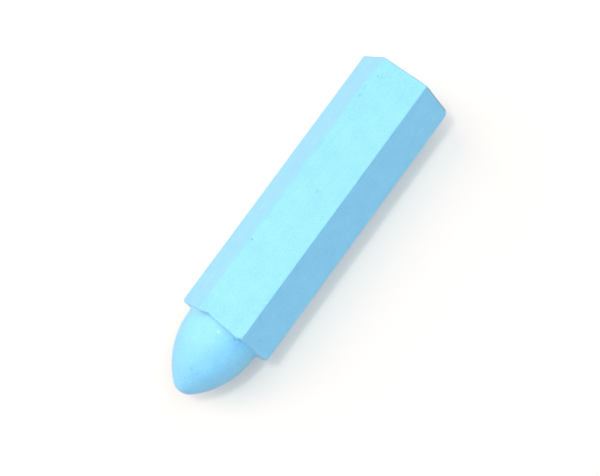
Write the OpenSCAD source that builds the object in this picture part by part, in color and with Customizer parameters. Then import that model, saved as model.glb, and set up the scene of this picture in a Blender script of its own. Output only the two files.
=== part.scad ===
// Chalk stick: a hexagonal body with a square shoulder and a round nose, moulded in one piece.
// It lies on one facet: X runs along the stick with the nose at +X, and Z = 0 is the surface under it.

/* [Body] */
// Width across two opposite facets
across_flats = 22; // [16:0.5:32]
// Length of the hexagonal body, from the butt end to the shoulder
body_length = 75.5; // [50:0.5:140]
// Radius on the six long ridges
ridge_r = 0.4; // [0.2:0.1:1.5]
// Bevel left by the mould around the butt end and around the shoulder
end_break = 0.3; // [0.1:0.05:0.8]

/* [Nose] */
// Length of the nose, from the shoulder to its tip
nose_length = 18; // [15:0.5:24]
// Width of the shoulder ledge at the middle of a facet
shoulder_ledge = 1.2; // [0.5:0.1:2]
// Length of the nearly straight root of the nose
nose_root = 2.7; // [1:0.1:4]
// Draft angle of that root
nose_draft = 4; // [1:0.5:6]
// Radius of the round tip
tip_r = 4; // [2:0.1:4.5]

/* [Hidden] */

$fn = 96;
OGIVE_FN = 240;
FACETS = 6;
FACET_STEP = 360 / FACETS;
BEVEL_ANGLE = 45;
// How far the nose's foot runs into the body
NOSE_FOOT = 1;

total_length = body_length + nose_length;
flat_height = across_flats / 2;
shoulder_x = total_length / 2 - nose_length;
butt_x = -total_length / 2;

// Circles of radius ridge_r sit at the corners of this smaller hexagon and touch both facets there.
ridge_centre = (flat_height - ridge_r) / cos(FACET_STEP / 2);

// The nose: a drafted root, an ogive arc tangent to it, and a round tip tangent to the arc.
nose_base_r = flat_height - shoulder_ledge;
root_end_r = nose_base_r - nose_root * tan(nose_draft);
tip_x = nose_length - tip_r;
curve_run = tip_x - nose_root;
ogive_r = (curve_run ^ 2 + root_end_r ^ 2 - tip_r ^ 2)
    / (2 * (root_end_r * cos(nose_draft) - curve_run * sin(nose_draft) - tip_r));
ogive_x = nose_root - ogive_r * sin(nose_draft);
ogive_y = root_end_r - ogive_r * cos(nose_draft);
tip_join_x = ogive_x + (tip_x - ogive_x) * ogive_r / (ogive_r - tip_r);

// The hexagon's flats stand at +-30, +-90 and +-150 degrees, so one facet is underneath.
function facet_angle(i) = FACET_STEP * (i + 0.5);
function corner_angle(i) = FACET_STEP * i;
function polar(r, angle) = [r * cos(angle), r * sin(angle)];

// The straight sides of the section, ending where the ridge arcs begin.
function flat_ends(i) = [
    for (side = [-1, 1])
        polar(ridge_centre, corner_angle(side < 0 ? i : i + 1)) + polar(ridge_r, facet_angle(i))
];

module hexagon_section() {
    polygon([for (i = [0:FACETS - 1]) for (p = flat_ends(i)) p]);
    for (i = [0:FACETS - 1])
        translate(polar(ridge_centre, corner_angle(i)))
            circle(r = ridge_r);
}

// A bar along one edge of an end, tilted so that it planes that edge off.
module edge_plane(x, i, side) {
    bar = across_flats;
    rotate([facet_angle(i) - 90, 0, 0])
        translate([x, 0, flat_height])
            rotate([0, side * BEVEL_ANGLE, 0])
                translate([-bar / 2, -bar / 2, -end_break * cos(BEVEL_ANGLE)])
                    cube([bar, bar, bar]);
}

module body() {
    difference() {
        translate([butt_x, 0, 0])
            rotate([0, 90, 0])
                rotate([0, 0, 90])
                    linear_extrude(height = body_length)
                        hexagon_section();
        for (i = [0:FACETS - 1]) {
            edge_plane(butt_x, i, -1);
            edge_plane(shoulder_x, i, 1);
        }
    }
}

// Half of the nose's outline, drawn along +X from just inside the shoulder.
module nose_outline() {
    polygon([
        [-NOSE_FOOT, 0],
        [-NOSE_FOOT, nose_base_r],
        [0, nose_base_r],
        [nose_root, root_end_r],
        [nose_root, 0]
    ]);
    intersection() {
        translate([ogive_x, ogive_y])
            circle(r = ogive_r, $fn = OGIVE_FN);
        translate([nose_root, 0])
            square([tip_join_x - nose_root, nose_base_r]);
    }
    intersection() {
        translate([tip_x, 0])
            circle(r = tip_r);
        translate([tip_join_x, 0])
            square([nose_length, nose_base_r]);
    }
}

module nose() {
    translate([shoulder_x, 0, 0])
        rotate([0, 90, 0])
            rotate_extrude()
                mirror([1, -1])
                    nose_outline();
}

module chalk_stick() {
    color("#7fc9f0")
        translate([0, 0, flat_height])
            union() {
                body();
                nose();
            }
}

chalk_stick();
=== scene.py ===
"""A jumbo stick of moulded chalk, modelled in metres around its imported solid.

X runs along the stick with the nose at +X, Y across it and Z up. The stick lies on one facet."""

import math

import bmesh
import bpy
from mathutils import Matrix, Vector, noise


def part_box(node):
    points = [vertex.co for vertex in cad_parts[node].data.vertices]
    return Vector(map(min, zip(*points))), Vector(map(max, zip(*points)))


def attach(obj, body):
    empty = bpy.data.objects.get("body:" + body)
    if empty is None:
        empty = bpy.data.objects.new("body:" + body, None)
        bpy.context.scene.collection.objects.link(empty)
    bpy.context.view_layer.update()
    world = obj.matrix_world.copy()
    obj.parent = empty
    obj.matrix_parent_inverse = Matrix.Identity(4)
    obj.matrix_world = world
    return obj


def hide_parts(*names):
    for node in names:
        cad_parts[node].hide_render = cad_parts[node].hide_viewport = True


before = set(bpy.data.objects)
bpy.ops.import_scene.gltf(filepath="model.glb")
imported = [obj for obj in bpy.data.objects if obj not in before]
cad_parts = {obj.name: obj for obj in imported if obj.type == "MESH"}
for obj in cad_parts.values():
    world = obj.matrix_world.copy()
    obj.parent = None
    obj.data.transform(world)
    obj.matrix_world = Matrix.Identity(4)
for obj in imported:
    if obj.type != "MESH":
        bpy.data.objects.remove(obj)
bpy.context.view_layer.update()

MM = 0.001
NODE = "chalk_stick"

# ---- sizes ----

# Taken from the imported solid.
low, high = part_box(NODE)
BUTT_X = low.x
TIP_X = high.x
AXIS_Z = (high.z + low.z) / 2
FLAT_R = (high.z - low.z) / 2

# The same sizes that the solid was made with.
NOSE_LENGTH = 18 * MM
SHOULDER_LEDGE = 1.2 * MM
NOSE_ROOT = 2.7 * MM
NOSE_DRAFT = math.radians(4)
TIP_R = 4 * MM

SHOULDER_X = TIP_X - NOSE_LENGTH
NOSE_BASE_R = FLAT_R - SHOULDER_LEDGE

FACETS = 6
FACET_STEP = math.tau / FACETS
FACET_DEGREES = 360 // FACETS
CORNER_R = FLAT_R / math.cos(FACET_STEP / 2)

# Radius of each long ridge, from the +Y one round over the top. The one at 120 degrees is most rubbed.
RIDGE_R = [r * MM for r in (0.4, 0.25, 1.3, 0.4, 0.4, 0.4)]
BUTT_ROUND = 0.3 * MM
SHOULDER_ROUND = 0.25 * MM
ROOT_FILLET = 0.25 * MM

# How finely the skin is cut. The nose is spun in as many steps as the body's section has points.
FLAT_CUTS = 26
RIDGE_CUTS = 4
RING = FACETS * (FLAT_CUTS + RIDGE_CUTS)
ROUND_CUTS = 4
LEDGE_CUTS = 8
NOSE_CUTS = 56
FINE_STEP = 0.14 * MM
COARSE_STEP = 0.5 * MM
STEP_GROWTH = 1.15
BUTT_RINGS = 10
MERGE = 0.001 * MM
# Added to an angle, so that a point on the +Y ridge counts as 0 and not as a whole turn.
TURN_SLACK = 1e-6


# ---- the stick's clean shape, about the X axis ----


def turn_of(p):
    """The angle of a point about the X axis, from +Y towards +Z, in one whole turn."""
    return (math.atan2(p.z, p.y) + TURN_SLACK) % math.tau


def section_ring(bm, x):
    """The body's section at x as a ring of edges: a hexagon on its flat, with rounded ridges."""
    corners = bmesh.ops.create_circle(
        bm,
        cap_ends=True,
        radius=CORNER_R,
        segments=FACETS,
        matrix=Matrix.Translation((x, 0, 0)) @ Matrix.Rotation(math.radians(90), 4, "Y"),
    )["verts"]
    for corner in corners:
        bmesh.ops.bevel(
            bm,
            geom=[corner],
            affect="VERTICES",
            offset=RIDGE_R[round(turn_of(corner.co) / FACET_STEP) % FACETS] * math.tan(FACET_STEP / 2),
            segments=RIDGE_CUTS,
            profile=0.5,
            material=-1,
        )
    flats = [e for e in bm.edges if e.calc_length() > FLAT_R / 2]
    bmesh.ops.subdivide_edges(bm, edges=flats, cuts=FLAT_CUTS - 1)
    bmesh.ops.delete(bm, geom=bm.faces[:], context="FACES_ONLY")
    return bm.edges[:]


def grow(bm, ring, along, scale=1):
    """Extrudes a ring of edges a distance along X, scales it about the axis, and gives the new ring."""
    made = bmesh.ops.extrude_edge_only(bm, edges=ring)["geom"]
    verts = [g for g in made if isinstance(g, bmesh.types.BMVert)]
    bmesh.ops.translate(bm, verts=verts, vec=(along, 0, 0))
    bmesh.ops.scale(bm, verts=verts, vec=(1, scale, scale))
    placed = set(verts)
    return [g for g in made if isinstance(g, bmesh.types.BMEdge) and placed.issuperset(g.verts)]


def round_over(bm, ring, radius, way):
    """Takes a ring over a quarter-round edge, from the side faces to the end face: way is 1 or -1."""
    for i in range(ROUND_CUTS):
        here, there = (math.pi / 2 * k / ROUND_CUTS for k in (i, i + 1))
        across = [FLAT_R - radius + radius * math.cos(turn) for turn in (here, there)]
        ring = grow(bm, ring, way * radius * (math.sin(there) - math.sin(here)), across[1] / across[0])
    return ring


def graded_steps(length):
    """Steps that add up to a length, fine at both ends and coarser towards the middle."""
    steps = [FINE_STEP]
    while sum(steps) < length / 2:
        steps.append(min(COARSE_STEP, steps[-1] * STEP_GROWTH))
    steps += steps[::-1]
    return [step * length / sum(steps) for step in steps]


def nose_radius(ahead):
    """The nose's radius at a distance ahead of the shoulder: a drafted root, an ogive and a round tip."""
    root_end_r = NOSE_BASE_R - NOSE_ROOT * math.tan(NOSE_DRAFT)
    tip_x = NOSE_LENGTH - TIP_R
    run = tip_x - NOSE_ROOT
    ogive_r = (run**2 + root_end_r**2 - TIP_R**2) / (
        2 * (root_end_r * math.cos(NOSE_DRAFT) - run * math.sin(NOSE_DRAFT) - TIP_R)
    )
    ogive_x = NOSE_ROOT - ogive_r * math.sin(NOSE_DRAFT)
    ogive_y = root_end_r - ogive_r * math.cos(NOSE_DRAFT)
    tip_join = ogive_x + (tip_x - ogive_x) * ogive_r / (ogive_r - TIP_R)
    if ahead < NOSE_ROOT:
        return NOSE_BASE_R - ahead * math.tan(NOSE_DRAFT)
    if ahead < tip_join:
        return ogive_y + math.sqrt(ogive_r**2 - (ahead - ogive_x) ** 2)
    return math.sqrt(max(0, TIP_R**2 - (ahead - tip_x) ** 2))


def nose_profile():
    """The nose's outline as (ahead of the shoulder, radius), over its root fillet and on to the tip."""
    for i in range(ROUND_CUTS):
        turn = math.pi / 2 * i / ROUND_CUTS
        yield ROOT_FILLET * (1 - math.cos(turn)), NOSE_BASE_R + ROOT_FILLET * (1 - math.sin(turn))
    for i in range(NOSE_CUTS + 1):
        ahead = ROOT_FILLET + (NOSE_LENGTH - ROOT_FILLET) * math.sin(math.pi / 2 * i / NOSE_CUTS)
        yield ahead, nose_radius(ahead)


def spin_nose(bm):
    """Spins the nose about the axis and gives the ring of edges round its foot."""
    profile = [bm.verts.new((SHOULDER_X + ahead, radius, 0)) for ahead, radius in nose_profile()]
    edges = [bm.edges.new(pair) for pair in zip(profile, profile[1:])]
    bmesh.ops.spin(
        bm,
        geom=profile + edges,
        cent=(0, 0, 0),
        axis=(1, 0, 0),
        angle=math.tau,
        steps=RING,
        use_merge=True,
    )
    foot_r = NOSE_BASE_R + ROOT_FILLET
    at_foot = {
        v
        for v in bm.verts
        if abs(v.co.x - SHOULDER_X) < MERGE and abs(v.co.yz.length - foot_r) < MERGE
    }
    return [e for e in bm.edges if at_foot.issuperset(e.verts)]


def clean_stick(bm):
    """The whole stick as one closed skin, before any wear."""
    start = section_ring(bm, BUTT_X + BUTT_ROUND)
    ring = start
    for step in graded_steps(SHOULDER_X - SHOULDER_ROUND - BUTT_X - BUTT_ROUND):
        ring = grow(bm, ring, step)
    rim = round_over(bm, ring, SHOULDER_ROUND, 1)
    ledge = bmesh.ops.bridge_loops(bm, edges=rim + spin_nose(bm))
    bmesh.ops.subdivide_edges(bm, edges=ledge["edges"], cuts=LEDGE_CUTS - 1, use_grid_fill=True)
    ring = round_over(bm, start, BUTT_ROUND, -1)
    for left in range(BUTT_RINGS, 0, -1):
        ring = grow(bm, ring, 0, (left - 1) / left)
    bmesh.ops.remove_doubles(bm, verts=bm.verts, dist=MERGE)
    bmesh.ops.recalc_face_normals(bm, faces=bm.faces)


# ---- wear, with painted light and shade: the skin moves inwards or along itself, and never past the imported solid's box ----

# How pale a point of the skin is, for wear and for painted light, and how dark it is, for painted shade in
# pits and for the painted shade line in the butt edge, each from 0 to 1, kept for the material.
WEAR_AND_LIGHT_LAYER = "pale_wear_and_light"
PIT_SHADE_LAYER = "pitted"
BUTT_SHADE_LAYER = "painted_butt_shade"

# Tables of (degrees round from the +Y ridge, mm), straight between their knots: how far back the
# shoulder's front edge has worn, with a nick at 110 degrees, and how big a fillet fills the nose's root.
SHOULDER_LINE = (
    (0, -0.1),
    (56, 0.1),
    (63, -0.5),
    (75, -0.2),
    (100, 0.2),
    (110, 0.5),
    (118, -0.1),
    (180, 0.1),
    (360, -0.1),
)
ROOT_FILL = ((0, 0.3), (60, 0.3), (85, 0.7), (130, 0.8), (190, 0.3), (360, 0.3))
LINE_BEHIND = 2.5 * MM
LINE_AHEAD = 1.2 * MM
# Only the skin beyond this share of the nose's radius follows the line.
LINE_FROM = 0.9

# Painted light on the shaded ledge, laid on as a pale dust colour: (degrees round, how pale), and how far it
# reaches ahead of the ledge.
LEDGE_LIGHT = ((0, 0), (62, 0), (68, 0.3), (105, 0.3), (122, 0.45), (175, 0.5), (185, 0), (360, 0))
LEDGE_LIGHT_REACH = 0.5 * MM

# Rubbed edges, worn round, and pale partly from wear and partly as a painted highlight where an edge catches
# the light: the end ("butt" or "shoulder"), the direction that the edge faces in degrees from +Y, its
# radius, the middle and half length in mm of the stretch that is rubbed, and how pale it is painted.
WORN_EDGES_AND_HIGHLIGHTS = (
    ("shoulder", 30, 0.8, 1.5, 5.5, 0.25),
    ("shoulder", 0, 0.9, 0, 3, 0.35),
    ("shoulder", 60, 0.5, 0, 2, 0.6),
    ("shoulder", 120, 0.35, 0, 2, 0.2),
    ("shoulder", 180, 1.0, 0, 4, 0.2),
    ("butt", 0, 1.4, 0, 4, 0.3),
    ("butt", 60, 0.4, 0, 2, 0.2),
    ("butt", 180, 0.5, 0, 3, 0.2),
)
# How much of its radius a rubbed edge loses towards its ends, how far a rounded ridge lies under the sharp
# corner as a share of its radius, how far past the end the skin may lie and still be rubbed, and where the
# paleness starts and how softly, both as shares of the radius.
RUB_TAPER = 0.9
RIDGE_SINK = 0.15
RUB_OVERHANG = 0.4 * MM
RUB_START = 0.8
RUB_SOFTNESS = 0.4

# Scuffs and rubbed spots on the body: the facet's direction in degrees, mm behind the shoulder, mm across
# the facet from its middle (towards lower angles), half length, half width, and how pale. The last one, by
# the front edge near the lower ridge, is partly a painted highlight.
SCUFFS_AND_HIGHLIGHT = (
    (30, 67.1, 2.0, 1.6, 0.2, 0.7),
    (30, 71.6, 2.9, 1.3, 0.2, 0.6),
    (30, 1.0, 4.8, 0.7, 0.6, 0.35),
)

# Painted shade in the butt edge, a thin grey line where the edge turns away from the light: from and to
# degrees, mm it reaches, and how dark. It's a clear line on the +Y upper facet and faint on over the top.
BUTT_SHADE_LINE = ((6, 57, 0.6, 1), (57, 178, 0.6, 0.35))
# The painted shade keeps to the rim, beyond this share of a facet's distance from the axis.
BUTT_SHADE_FROM = 0.97

# Air pits on the body: the facet's direction in degrees, mm behind the shoulder, mm across the facet from
# its middle (towards lower angles), half length, half width and depth. Each pit is darkened with painted
# shade, the more the deeper it is.
BODY_PITS = (
    (90, 20.9, -5.9, 0.42, 0.42, 0.15),
    (90, 14.8, -6.1, 0.25, 0.25, 0.07),
    (90, 39.3, 0.0, 0.5, 0.3, 0.1),
    (90, 39.0, 1.15, 0.6, 0.3, 0.05),
    (90, 38.2, -1.8, 0.5, 0.4, 0.03),
    (90, 64.3, -5.65, 0.9, 0.28, 0.12),
    (90, 66.8, -5.75, 1.4, 0.25, 0.07),
    (90, 70.7, -4.8, 0.35, 0.3, 0.11),
    (90, 70.6, -4.2, 0.3, 0.25, 0.07),
    (90, 71.1, -3.9, 0.35, 0.3, 0.13),
    (90, 69.5, 2.8, 2.6, 0.4, 0.035),
    (30, 6.4, -5.4, 0.4, 0.3, 0.06),
)

# Air pits on the nose: mm ahead of the shoulder, degrees round from the top towards +Y, radius and depth.
# Each is darkened with painted shade by its depth; the three by the shoulder paint shade on the nose's root
# beside the 60 degree ridge.
NOSE_PITS = (
    (12.2, 1, 0.45, 0.07),
    (14.8, -2, 0.4, 0.06),
    (12.4, 17, 0.4, 0.07),
    (14.8, 25, 0.35, 0.06),
    (8.5, 35, 0.3, 0.02),
    (0.2, 36, 0.45, 0.06),
    (0.9, 28, 0.35, 0.06),
    (1.4, 36, 0.3, 0.06),
)
# A small dent in the ledge by the 60 degree ridge, darkened with painted shade: degrees round, mm from the
# axis, radius and depth.
LEDGE_PITS = ((57, 11.7, 0.45, 0.15),)

# Small raised specks on the nose, painted pale, partly as dust and partly as small painted highlights: mm
# ahead of the shoulder, degrees from the top towards +Y, radius and how pale.
DUST_AND_GLINT_SPECKS = ((1.7, 4, 0.4, 0.7), (1.0, -9, 0.2, 0.25), (4.1, -3, 0.2, 0.25))
SPECK_HEIGHT = 0.04 * MM
SCUFF_DEPTH = 0.02 * MM

# Broad, shallow hollows in the nose: mm ahead of the shoulder, degrees from +Y, half length in mm, half
# turn in degrees and depth in mm.
NOSE_HOLLOWS = ((4.3, 10, 2.2, 50, 0.15), (10.5, 10, 2.5, 60, 0.08))

DEEPEST_PIT = 0.15 * MM
PIT_MARGIN = 0.45 * MM
PIT_CUTS = 3
PIT_EDGE = 0.15 * MM
# How far from a mark's centre its skin is looked for, as a share of its longer half.
MARK_SPREAD = 1.2

# A slow wave with a finer ripple on it, lifted by a level so that it only sinks. It fades out near the
# facet that the stick lies on.
WAVE_LENGTH = 9 * MM
WAVE_DEPTH = 0.03 * MM
WAVE_LEVEL = 0.5
RIPPLE_SHARE = 0.5
RIPPLE_RATE = 3.1
FLAT_ABOVE = 0.5 * MM


def smooth(share):
    """Eases from 0 to 1 as share goes from 0 to 1."""
    share = min(1, max(0, share))
    return share * share * (3 - 2 * share)


def facing(degrees):
    """A direction square to the X axis, at an angle from +Y towards +Z."""
    return Vector((0, math.cos(math.radians(degrees)), math.sin(math.radians(degrees))))


def sideways(degrees):
    """The direction across a facet that faces an angle, towards lower angles."""
    return facing(degrees - 90)


def read_table(table, degrees):
    """The value of a table of (degrees, value) at an angle."""
    for (a, first), (b, second) in zip(table, table[1:]):
        if degrees <= b:
            return first + (second - first) * (degrees - a) / (b - a)
    return table[-1][1]


def wander_shoulder(bm):
    """Slides the shoulder's edge along X, fading out over the skin on both sides."""
    for v in bm.verts:
        inside = SHOULDER_X - v.co.x
        reach = LINE_BEHIND if inside > 0 else LINE_AHEAD
        if abs(inside) < reach and v.co.yz.length > NOSE_BASE_R * LINE_FROM:
            back = MM * read_table(SHOULDER_LINE, math.degrees(turn_of(v.co)))
            v.co.x -= back * (1 - smooth(abs(inside) / reach))


def fill_root(bm):
    """Fills the corner between the ledge and the nose with a fillet whose size changes round the stick."""
    for v in bm.verts:
        ahead = v.co.x - SHOULDER_X
        radius = v.co.yz.length
        fill = MM * read_table(ROOT_FILL, math.degrees(turn_of(v.co)))
        above = radius - nose_radius(max(0, ahead))
        far = math.hypot(fill - ahead, fill - above)
        if -MERGE < ahead < fill and above < fill and far > fill:
            v.co.x += (ahead - fill) * (fill / far - 1)
            v.co.yz *= 1 + (above - fill) * (fill / far - 1) / radius


def paint_ledge_light(bm):
    """Paints light on the shaded ledge as a pale, dust-like colour, thinning out ahead of it."""
    pale_wear_and_light = bm.verts.layers.float[WEAR_AND_LIGHT_LAYER]
    for v in bm.verts:
        ahead = v.co.x - SHOULDER_X
        on_ledge = -MERGE < ahead < LEDGE_LIGHT_REACH and v.co.yz.length < FLAT_R - SHOULDER_ROUND
        if on_ledge or abs(ahead) < MERGE:
            pale = read_table(LEDGE_LIGHT, math.degrees(turn_of(v.co)))
            v[pale_wear_and_light] = pale * (1 - smooth(ahead / LEDGE_LIGHT_REACH))


def wear_edges_and_paint_highlights(bm):
    """Rounds the end edges where hands and boards have rubbed them, and paints them pale as wear and painted
    highlight.
    """
    pale_wear_and_light = bm.verts.layers.float[WEAR_AND_LIGHT_LAYER]
    for end, degrees, radius, middle, half, pale in WORN_EDGES_AND_HIGHLIGHTS:
        end_x, inwards = (BUTT_X, 1) if end == "butt" else (SHOULDER_X, -1)
        out = facing(degrees)
        on_ridge = degrees % FACET_DEGREES == 0
        reach = CORNER_R - RIDGE_SINK * RIDGE_R[degrees // FACET_DEGREES] if on_ridge else FLAT_R
        for v in bm.verts:
            share = abs(v.co.dot(sideways(degrees)) / MM - middle) / half
            if share >= 1:
                continue
            r = radius * MM * (1 - smooth(share) * RUB_TAPER)
            a = (v.co.x - end_x) * inwards
            b = reach - v.co.dot(out)
            far = math.hypot(r - a, r - b)
            if -RUB_OVERHANG < a < r and b < r and far > RUB_START * r:
                wear_and_highlight = pale * smooth((far / r - RUB_START) / RUB_SOFTNESS) * (1 - smooth(share))
                v[pale_wear_and_light] = max(v[pale_wear_and_light], wear_and_highlight)
                if far > r:
                    v.co.x += inwards * (r - a) * (1 - r / far)
                    v.co -= out * (r - b) * (1 - r / far)


def paint_butt_shade(bm):
    """Paints a thin line of shade in the butt edge."""
    painted_butt_shade = bm.verts.layers.float[BUTT_SHADE_LAYER]
    for v in bm.verts:
        if v.co.yz.length <= FLAT_R * BUTT_SHADE_FROM:
            continue
        for start, end, reach, dark in BUTT_SHADE_LINE:
            if start < math.degrees(turn_of(v.co)) < end:
                v[painted_butt_shade] = dark * (1 - smooth((v.co.x - BUTT_X) / (reach * MM)))


def refine(bm, centre, reach):
    """Cuts the skin near a point finely enough to hold a small pit, where it isn't yet that fine."""
    bm.edges.index_update()
    faces = [f for f in bm.faces if (f.calc_center_median() - centre).length < reach]
    long_edges = {e for f in faces for e in f.edges if e.calc_length() > PIT_EDGE}
    edges = sorted(long_edges, key=lambda e: e.index)
    bmesh.ops.subdivide_edges(bm, edges=edges, cuts=PIT_CUTS, use_grid_fill=True)


def mark(bm, centre, normal, along, half_length, half_width, depth, layer, strength):
    """Presses a smooth oval hollow, or a bump where depth is below 0, and notes it in a layer."""
    values = bm.verts.layers.float[layer]
    reach = max(half_length, half_width)
    refine(bm, centre, reach + PIT_MARGIN)
    across = normal.cross(along)
    for v in bm.verts:
        offset = v.co - centre
        if offset.length < reach * MARK_SPREAD:
            along_share = (offset - across * offset.dot(across)).length / half_length
            share = along_share**2 + (offset.dot(across) / half_width) ** 2
            if share < 1:
                v.co -= normal * depth * (1 - share) ** 1.5
                v[values] = max(v[values], (1 - share) * strength)


def on_facet(degrees, behind, across):
    """A place on a facet of the body, and the facet's direction."""
    out = facing(degrees)
    middle = Vector((SHOULDER_X - behind * MM, 0, 0)) + out * FLAT_R
    return middle + sideways(degrees) * across * MM, out


def on_nose(ahead, degrees):
    """A place on the nose, and the direction straight out from the axis there."""
    out = facing(90 - degrees)
    return Vector((SHOULDER_X + ahead * MM, 0, 0)) + out * nose_radius(ahead * MM), out


def press_marks(bm):
    """Presses in the air pits and the scuffs, and raises the specks."""
    lengthwise = Vector((1, 0, 0))
    for degrees, behind, across, half_length, half_width, depth in BODY_PITS:
        place, out = on_facet(degrees, behind, across)
        size = (half_length * MM, half_width * MM, depth * MM)
        mark(bm, place, out, lengthwise, *size, PIT_SHADE_LAYER, depth * MM / DEEPEST_PIT)
    for ahead, degrees, radius, depth in NOSE_PITS:
        place, out = on_nose(ahead, degrees)
        size = (radius * MM, radius * MM, depth * MM)
        mark(bm, place, out, lengthwise, *size, PIT_SHADE_LAYER, depth * MM / DEEPEST_PIT)
    for degrees, from_axis, radius, depth in LEDGE_PITS:
        out = facing(degrees)
        ledge_x = SHOULDER_X - MM * read_table(SHOULDER_LINE, degrees)
        place = Vector((ledge_x, 0, 0)) + out * from_axis * MM
        size = (radius * MM, radius * MM, depth * MM)
        mark(bm, place, lengthwise, out, *size, PIT_SHADE_LAYER, depth * MM / DEEPEST_PIT)
    for degrees, behind, across, half_length, half_width, pale in SCUFFS_AND_HIGHLIGHT:
        place, out = on_facet(degrees, behind, across)
        mark(bm, place, out, lengthwise, half_length * MM, half_width * MM, SCUFF_DEPTH, WEAR_AND_LIGHT_LAYER, pale)
    for ahead, degrees, radius, pale in DUST_AND_GLINT_SPECKS:
        place, out = on_nose(ahead, degrees)
        mark(bm, place, out, lengthwise, radius * MM, radius * MM, -SPECK_HEIGHT, WEAR_AND_LIGHT_LAYER, pale)


def hollow_nose(bm):
    """Sinks the broad hollows into the nose."""
    for ahead, degrees, half_length, half_turn, depth in NOSE_HOLLOWS:
        for v in bm.verts:
            along = (v.co.x - SHOULDER_X) / MM - ahead
            around = (math.degrees(turn_of(v.co)) - degrees + 180) % 360 - 180
            share = (along / half_length) ** 2 + (around / half_turn) ** 2
            if share < 1:
                v.co.yz *= 1 - depth * MM * (1 - share) ** 2 / max(v.co.yz.length, TIP_R)


def settle_waves(bm):
    """Gives the moulded faces a very slight, slow unevenness, but keeps the one underneath flat."""
    bm.normal_update()
    for v in bm.verts:
        ripple = noise.noise(v.co / WAVE_LENGTH * RIPPLE_RATE)
        wave = noise.noise(v.co / WAVE_LENGTH) + RIPPLE_SHARE * ripple
        above_table = smooth((v.co.z + FLAT_R) / FLAT_ABOVE)
        v.co -= v.normal * WAVE_DEPTH * max(0, WAVE_LEVEL + wave) * above_table


def close_skin(bm):
    """Leaves one closed skin without slivers, its many-sided faces cut into triangles."""
    bmesh.ops.remove_doubles(bm, verts=bm.verts, dist=MERGE)
    bmesh.ops.dissolve_degenerate(bm, edges=bm.edges, dist=MERGE)
    bmesh.ops.triangulate(bm, faces=[f for f in bm.faces if len(f.verts) > 4])
    bmesh.ops.recalc_face_normals(bm, faces=bm.faces)


# ---- material ----


def linear(code):
    """An sRGB hex colour as the linear RGBA that shaders take."""
    channels = [int(code[i : i + 2], 16) / 255 for i in (1, 3, 5)]
    return [c / 12.92 if c <= 0.04045 else ((c + 0.055) / 1.055) ** 2.4 for c in channels] + [1]


def add(tree, kind, settings={}, inputs={}):
    """Adds a node with its settings, and sets or links its inputs by name or number."""
    node = tree.nodes.new(kind)
    for name, value in settings.items():
        setattr(node, name, value)
    for name, value in inputs.items():
        if isinstance(value, bpy.types.NodeSocket):
            tree.links.new(value, node.inputs[name])
        else:
            node.inputs[name].default_value = value
    return node


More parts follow.
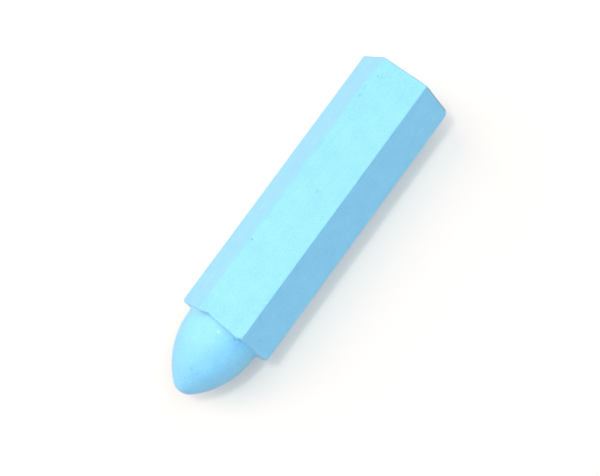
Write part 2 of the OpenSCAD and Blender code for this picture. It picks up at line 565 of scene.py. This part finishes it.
def moulded_chalk():
    """Pigmented plaster chalk cast in a smooth mould: an even, dull sky blue under a thin bloom of dust.

    A slow mottle and faint lengthwise flow lines vary its depth, a fine dry grain and tiny pores break its
    shine, rubbed edges are paler, partly as painted highlight, the shaded ledge and the specks are paler
    with painted light, pits and pores are darkened with painted shade, and a painted shade line in the butt
    edge is grey."""
    material = bpy.data.materials.new("moulded_chalk")
    material.use_nodes = True
    tree = material.node_tree
    tree.nodes.clear()
    place = add(tree, "ShaderNodeTexCoord").outputs["Object"]

    # Patches of damp and dry set, about 4 mm across.
    mottle = add(
        tree,
        "ShaderNodeTexNoise",
        {},
        {"Vector": place, "Scale": 1 / (4 * MM), "Detail": 4, "Roughness": 0.6},
    ).outputs["Fac"]
    # Flow lines from the pour, 25 mm long and 1 mm apart.
    stretched = add(
        tree,
        "ShaderNodeMapping",
        {},
        {"Vector": place, "Scale": (1 / (25 * MM), 1 / (1 * MM), 1 / (1 * MM))},
    ).outputs["Vector"]
    flow = add(tree, "ShaderNodeTexNoise", {}, {"Vector": stretched, "Scale": 1, "Detail": 2}).outputs["Fac"]
    # The grain of set plaster, drawn at 0.45 mm because the real one is too fine to show.
    grain = add(
        tree,
        "ShaderNodeTexNoise",
        {},
        {"Vector": place, "Scale": 1 / (0.45 * MM), "Detail": 3, "Roughness": 0.7},
    ).outputs["Fac"]
    # Pores from fine air bubbles, 0.2 mm wide in cells of 1.8 mm.
    cell = add(
        tree, "ShaderNodeTexVoronoi", {}, {"Vector": place, "Scale": 1 / (1.8 * MM), "Randomness": 1}
    ).outputs["Distance"]
    pore = add(
        tree,
        "ShaderNodeMapRange",
        {},
        {"Value": cell, "From Min": 0.03, "From Max": 0.09, "To Min": 1, "To Max": 0},
    ).outputs["Result"]

    depth = add(tree, "ShaderNodeMath", {"operation": "MULTIPLY_ADD"}, {0: flow, 1: 0.25, 2: mottle})
    depth = add(
        tree, "ShaderNodeMath", {"operation": "MULTIPLY_ADD"}, {0: grain, 1: 1.3, 2: depth.outputs[0]}
    )
    share = add(
        tree, "ShaderNodeMapRange", {}, {"Value": depth.outputs[0], "From Min": 0.9, "From Max": 1.65}
    ).outputs["Result"]
    tint = add(
        tree, "ShaderNodeMix", {"data_type": "RGBA"}, {0: share, 6: linear("#82D4F6"), 7: linear("#94E4FF")}
    ).outputs[2]
    # Paler towards a pale blue where the skin is worn or scuffed, and where light is painted: on the shaded
    # ledge, and as highlights on rubbed edges and specks.
    pale_wear_and_light = add(tree, "ShaderNodeAttribute", {"attribute_name": WEAR_AND_LIGHT_LAYER}).outputs["Fac"]
    tint = add(
        tree, "ShaderNodeMix", {"data_type": "RGBA"}, {0: pale_wear_and_light, 6: tint, 7: linear("#C0F0FC")}
    ).outputs[2]
    # Painted shade: pits, by their depth, and the tiny pores are darkened towards a deep teal.
    pitted = add(tree, "ShaderNodeAttribute", {"attribute_name": PIT_SHADE_LAYER}).outputs["Fac"]
    painted_shade = add(tree, "ShaderNodeMath", {"operation": "MULTIPLY"}, {0: pitted, 1: 0.7}).outputs[0]
    painted_shade = add(
        tree, "ShaderNodeMath", {"operation": "MULTIPLY_ADD"}, {0: pore, 1: 0.15, 2: painted_shade}
    ).outputs[0]
    tint = add(
        tree, "ShaderNodeMix", {"data_type": "RGBA"}, {0: painted_shade, 6: tint, 7: linear("#5AB0A2")}
    ).outputs[2]
    # Painted shade: the thin line in the butt edge is darkened towards grey.
    painted_butt_shade = add(tree, "ShaderNodeAttribute", {"attribute_name": BUTT_SHADE_LAYER}).outputs["Fac"]
    tint = add(
        tree, "ShaderNodeMix", {"data_type": "RGBA"}, {0: painted_butt_shade, 6: tint, 7: linear("#8EA89C")}
    ).outputs[2]

    rough = add(
        tree,
        "ShaderNodeMapRange",
        {},
        {"Value": mottle, "From Min": 0.3, "From Max": 0.7, "To Min": 0.46, "To Max": 0.54},
    ).outputs["Result"]
    rough = add(
        tree, "ShaderNodeMath", {"operation": "MULTIPLY_ADD"}, {0: pale_wear_and_light, 1: 0.2, 2: rough}
    ).outputs[0]

    height = add(tree, "ShaderNodeMath", {"operation": "MULTIPLY_ADD"}, {0: flow, 1: 0.2, 2: grain})
    height = add(
        tree, "ShaderNodeMath", {"operation": "MULTIPLY_ADD"}, {0: pore, 1: -0.8, 2: height.outputs[0]}
    )
    bump = add(
        tree, "ShaderNodeBump", {}, {"Height": height.outputs[0], "Strength": 1, "Distance": 0.03 * MM}
    ).outputs["Normal"]
    shader = add(
        tree,
        "ShaderNodeBsdfPrincipled",
        {},
        {
            "Base Color": tint,
            "Roughness": rough,
            "IOR": 1.5,
            "Normal": bump,
            "Sheen Weight": 0.17,
            "Sheen Roughness": 0.5,
        },
    )
    add(tree, "ShaderNodeOutputMaterial", {}, {"Surface": shader.outputs["BSDF"]})
    return material


# ---- pieces ----


def chalk_stick():
    """Builds the stick, wears it, and adds it to the scene as one piece."""
    bm = bmesh.new()
    clean_stick(bm)
    bm.verts.layers.float.new(WEAR_AND_LIGHT_LAYER)
    bm.verts.layers.float.new(PIT_SHADE_LAYER)
    bm.verts.layers.float.new(BUTT_SHADE_LAYER)
    hollow_nose(bm)
    fill_root(bm)
    paint_ledge_light(bm)
    wander_shoulder(bm)
    wear_edges_and_paint_highlights(bm)
    paint_butt_shade(bm)
    settle_waves(bm)
    press_marks(bm)
    close_skin(bm)
    bmesh.ops.translate(bm, verts=bm.verts, vec=(0, 0, AXIS_Z))
    mesh = bpy.data.meshes.new("chalk_stick_skin")
    bm.to_mesh(mesh)
    bm.free()
    mesh.polygons.foreach_set("use_smooth", [True] * len(mesh.polygons))
    mesh.materials.append(moulded_chalk())
    stick = bpy.data.objects.new("moulded_chalk_stick", mesh)
    bpy.context.scene.collection.objects.link(stick)
    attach(stick, "root")
    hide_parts(NODE)


# ---- stage ----

FLOOR_SIZE = 4
FLOOR_GAP = 0.02 * MM
# Light that the table top gives off to the camera alone, and where it runs out to white.
FLOOR_LIFT = (0.22, 0.19, 0.182, 1)
FADE_START = 0.08
FADE_END = 0.22
SKY_COLOUR = (0.22, 0.235, 0.31, 1)
LAMP_DISTANCE = 1.2
MIDDLE = Vector((0, 0, AXIS_Z))

# Where the camera looks, where it stands from there in degrees and metres, its roll, and its lens in mm.
CAMERA_TARGET = Vector((-0.35 * MM, 1.45 * MM, 11 * MM))
CAMERA_AZIMUTH = 51.8
CAMERA_ELEVATION = 78.0
CAMERA_DISTANCE = 0.459
CAMERA_ROLL = -16.1
CAMERA_LENS = 113.4
SENSOR_WIDTH = 36
CLIP_START = 0.01


def pale_floor():
    """A plain pale table top that keeps the stick's shadow and runs out to white further off."""
    material = bpy.data.materials.new("white_table_top")
    material.use_nodes = True
    tree = material.node_tree
    tree.nodes.clear()
    path = add(tree, "ShaderNodeLightPath")
    paint = add(tree, "ShaderNodeBsdfDiffuse", {}, {"Color": linear("#DDDFD4")})
    lift = add(
        tree,
        "ShaderNodeEmission",
        {},
        {"Color": FLOOR_LIFT, "Strength": path.outputs["Is Camera Ray"]},
    )
    near = add(tree, "ShaderNodeAddShader", {}, {0: paint.outputs[0], 1: lift.outputs[0]})
    place = add(tree, "ShaderNodeTexCoord").outputs["Object"]
    off = add(tree, "ShaderNodeVectorMath", {"operation": "LENGTH"}, {0: place}).outputs["Value"]
    fade = add(
        tree,
        "ShaderNodeMapRange",
        {"interpolation_type": "SMOOTHSTEP"},
        {"Value": off, "From Min": FADE_START, "From Max": FADE_END, "To Min": 0, "To Max": 1},
    ).outputs["Result"]
    seen = add(
        tree, "ShaderNodeMath", {"operation": "MULTIPLY"}, {0: fade, 1: path.outputs["Is Camera Ray"]}
    ).outputs[0]
    white = add(tree, "ShaderNodeEmission")
    surface = add(tree, "ShaderNodeMixShader", {}, {0: seen, 1: near.outputs[0], 2: white.outputs[0]})
    add(tree, "ShaderNodeOutputMaterial", {}, {"Surface": surface.outputs[0]})
    bm = bmesh.new()
    bmesh.ops.create_grid(bm, x_segments=1, y_segments=1, size=FLOOR_SIZE / 2)
    bmesh.ops.translate(bm, verts=bm.verts, vec=(0, 0, low.z - FLOOR_GAP))
    mesh = bpy.data.meshes.new("table_top")
    bm.to_mesh(mesh)
    bm.free()
    mesh.materials.append(material)
    floor = bpy.data.objects.new("table_top", mesh)
    bpy.context.scene.collection.objects.link(floor)


def towards(azimuth, elevation):
    """A unit vector at an azimuth from +X towards +Y and an elevation, both in degrees."""
    a, e = math.radians(azimuth), math.radians(elevation)
    return Vector((math.cos(e) * math.cos(a), math.cos(e) * math.sin(a), math.sin(e)))


def aim(obj, azimuth, elevation, distance, target, roll=0):
    """Puts a lamp or camera on a line from the target, looks back along it, and rolls about it."""
    offset = distance * towards(azimuth, elevation)
    obj.location = target + offset
    turn = offset.to_track_quat("Z", "Y").to_matrix().to_4x4()
    obj.rotation_euler = (turn @ Matrix.Rotation(math.radians(roll), 4, "Z")).to_euler()


def softbox(name, azimuth, elevation, size, watts, colour):
    """A square lamp with sides of a size in metres, that looks at the stick's middle."""
    lamp = bpy.data.lights.new(name, "AREA")
    lamp.shape = "SQUARE"
    lamp.size = size
    lamp.energy = watts
    lamp.color = colour
    obj = bpy.data.objects.new(name, lamp)
    bpy.context.scene.collection.objects.link(obj)
    obj.visible_camera = False
    aim(obj, azimuth, elevation, LAMP_DISTANCE, MIDDLE)


def studio_light():
    """Lights the stick from overhead and all round, under an even sky that the camera sees as white."""
    softbox("overhead", -45, 80.5, 0.15, 3.3, (1.0, 0.93, 0.97))
    softbox("overhead_soft", -45, 80.5, 0.45, 1.0, (1.0, 1.0, 1.0))
    softbox("key", -75, 42, 1.0, 9.5, (1.0, 0.75, 0.7))
    softbox("butt_side", 180, 60, 0.8, 3.9, (1.0, 0.93, 0.93))
    softbox("far_side", 90, 65, 0.8, 3.4, (0.7, 0.85, 1.0))
    softbox("nose_side", 0, 60, 0.8, 1.0, (1.0, 1.0, 1.0))
    world = bpy.data.worlds.new("studio")
    bpy.context.scene.world = world
    world.use_nodes = True
    tree = world.node_tree
    tree.nodes.clear()
    path = add(tree, "ShaderNodeLightPath")
    colour = add(
        tree,
        "ShaderNodeMix",
        {"data_type": "RGBA"},
        {0: path.outputs["Is Camera Ray"], 6: SKY_COLOUR, 7: (1, 1, 1, 1)},
    )
    sky = add(tree, "ShaderNodeBackground", {}, {"Color": colour.outputs[2]})
    add(tree, "ShaderNodeOutputWorld", {}, {"Surface": sky.outputs[0]})


def camera():
    """Looks down on the stick from its nose side."""
    data = bpy.data.cameras.new("camera")
    data.lens = CAMERA_LENS
    data.sensor_width = SENSOR_WIDTH
    data.clip_start = CLIP_START
    obj = bpy.data.objects.new("camera", data)
    bpy.context.scene.collection.objects.link(obj)
    aim(obj, CAMERA_AZIMUTH, CAMERA_ELEVATION, CAMERA_DISTANCE, CAMERA_TARGET, CAMERA_ROLL)
    bpy.context.scene.camera = obj


bpy.context.scene.view_settings.view_transform = "Standard"
pale_floor()
studio_light()
camera()
chalk_stick()
